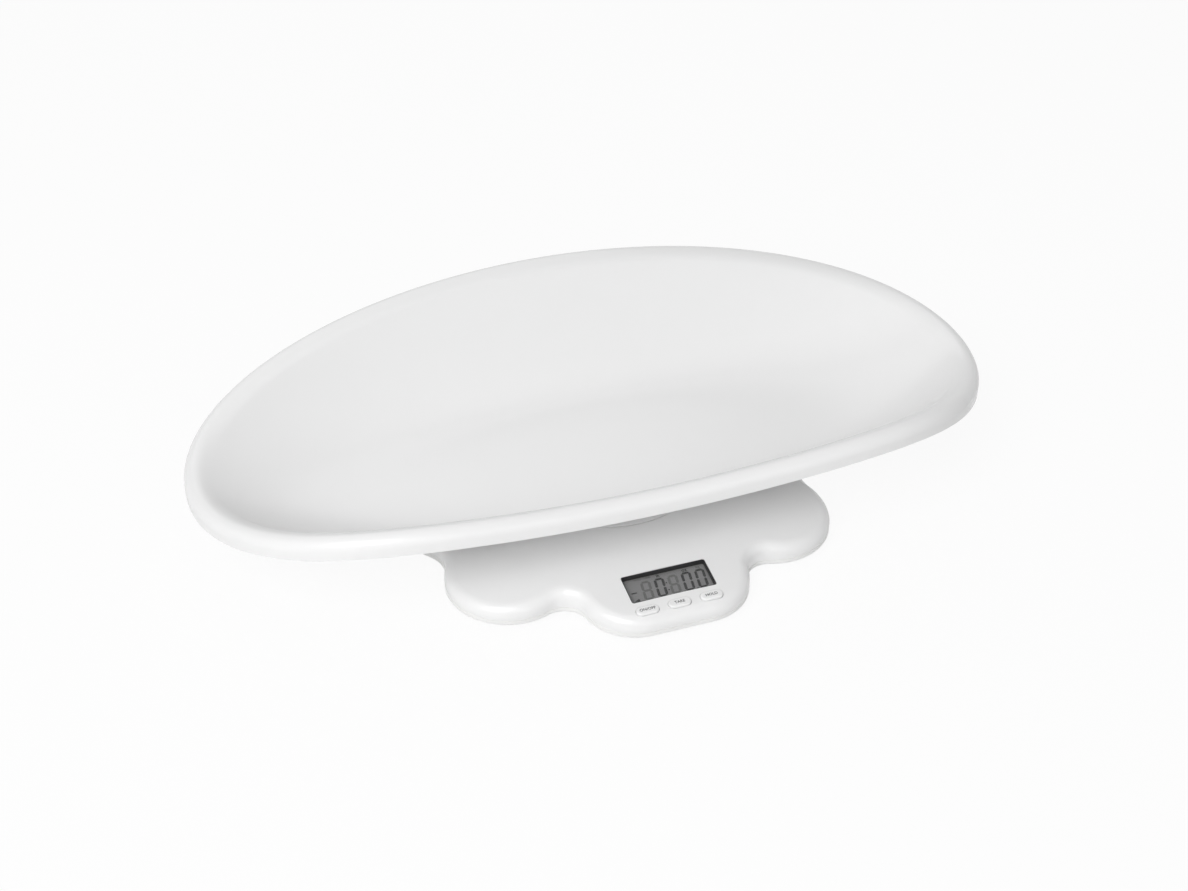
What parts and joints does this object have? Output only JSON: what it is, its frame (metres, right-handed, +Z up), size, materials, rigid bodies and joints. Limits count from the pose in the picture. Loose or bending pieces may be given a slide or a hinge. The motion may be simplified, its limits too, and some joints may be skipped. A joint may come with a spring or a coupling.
{
  "type": "digital baby weighing scale",
  "caption": "White electronic baby scale: dish-shaped lying tray with a rolled rim on a lobed base with a display and keys.",
  "frame": {"origin": "on the surface the feet stand on, under the middle of the outline", "axes": "+Z up out of the tray, -Y towards the user who reads the display and presses the keys, X along the length of the tray"},
  "size_m": [0.55, 0.3084, 0.1008],
  "materials": {
    "white_tray": "gloss",
    "white_cover": "gloss",
    "white_platform": "gloss",
    "white_base": "satin",
    "white_keys": "gloss",
    "clear_lens": "gloss",
    "display_glass": "gloss",
    "black_frame": "matte",
    "grey_elastomer": "matte",
    "green_board": "satin",
    "black_resin": "gloss",
    "switch_body": "matte",
    "switch_core": "matte",
    "components": "satin",
    "zinc_screws": "satin",
    "steel_plate": "satin",
    "aluminium_beam": "satin",
    "white_sealant": "satin",
    "rubber": "matte",
    "battery_sleeve": "gloss",
    "nickel_contact": "gloss",
    "cell_wire": "satin",
    "battery_wire": "satin"
  },
  "bodies": {
    "base": {"bottom_cover": "white_base", "top_cover": "white_cover", "case_screws": "zinc_screws", "rubber_feet": "rubber", "load_cell": "aluminium_beam", "gauge_potting": "white_sealant", "lower_spacer": "steel_plate", "load_cell_lower_screws": "zinc_screws", "load_cell_base_plate": "steel_plate", "base_plate_screws": "zinc_screws", "batteries": "battery_sleeve", "battery_contact_plates": "nickel_contact", "battery_contact_springs": "nickel_contact", "display_lens": "clear_lens", "lcd_glass": "display_glass", "lcd_holder": "black_frame", "lcd_contact_strips": "grey_elastomer", "main_pcb": "green_board", "pcb_screws": "zinc_screws", "tact_switches": "switch_body", "chip_blob": "black_resin", "board_components": "components", "load_cell_wires": "cell_wire", "battery_wires": "battery_wire"},
    "platform": {"platform": "white_platform", "platform_bracket": "steel_plate", "platform_screws": "zinc_screws", "upper_spacer": "steel_plate", "load_cell_upper_screws": "zinc_screws"},
    "tray": {"tray": "white_tray"},
    "on_off_key": {"button_on_off": "white_keys", "switch_plunger_on_off": "switch_core"},
    "tare_key": {"button_tare": "white_keys", "switch_plunger_tare": "switch_core"},
    "hold_key": {"button_hold": "white_keys", "switch_plunger_hold": "switch_core"},
    "battery_door": {"battery_door": "white_base"}
  },
  "joints": [
    {"name": "weigh_travel", "type": "slide", "parent": "base", "child": "platform", "axis": [0, 0, -1], "range_m": [0, 0.0005], "stiffness_N_per_m": 392000, "deforming": ["load_cell"]},
    {"name": "tray_lift", "type": "slide", "parent": "platform", "child": "tray", "axis": [0, 0, 1], "range_m": [0, 0.06]},
    {"name": "on_off_press", "type": "slide", "parent": "base", "child": "on_off_key", "axis": [0, 0.1202, -0.9927], "range_m": [0, 0.0004], "stiffness_N_per_m": 5000},
    {"name": "tare_press", "type": "slide", "parent": "base", "child": "tare_key", "axis": [0, 0.1202, -0.9927], "range_m": [0, 0.0004], "stiffness_N_per_m": 5000},
    {"name": "hold_press", "type": "slide", "parent": "base", "child": "hold_key", "axis": [0, 0.1202, -0.9927], "range_m": [0, 0.0004], "stiffness_N_per_m": 5000},
    {"name": "battery_door_hinge", "type": "hinge", "parent": "base", "child": "battery_door", "pos_m": [0, 0.0567, 0.0041], "axis": [-1, 0, 0], "range_deg": [0, 70]}
  ]
}
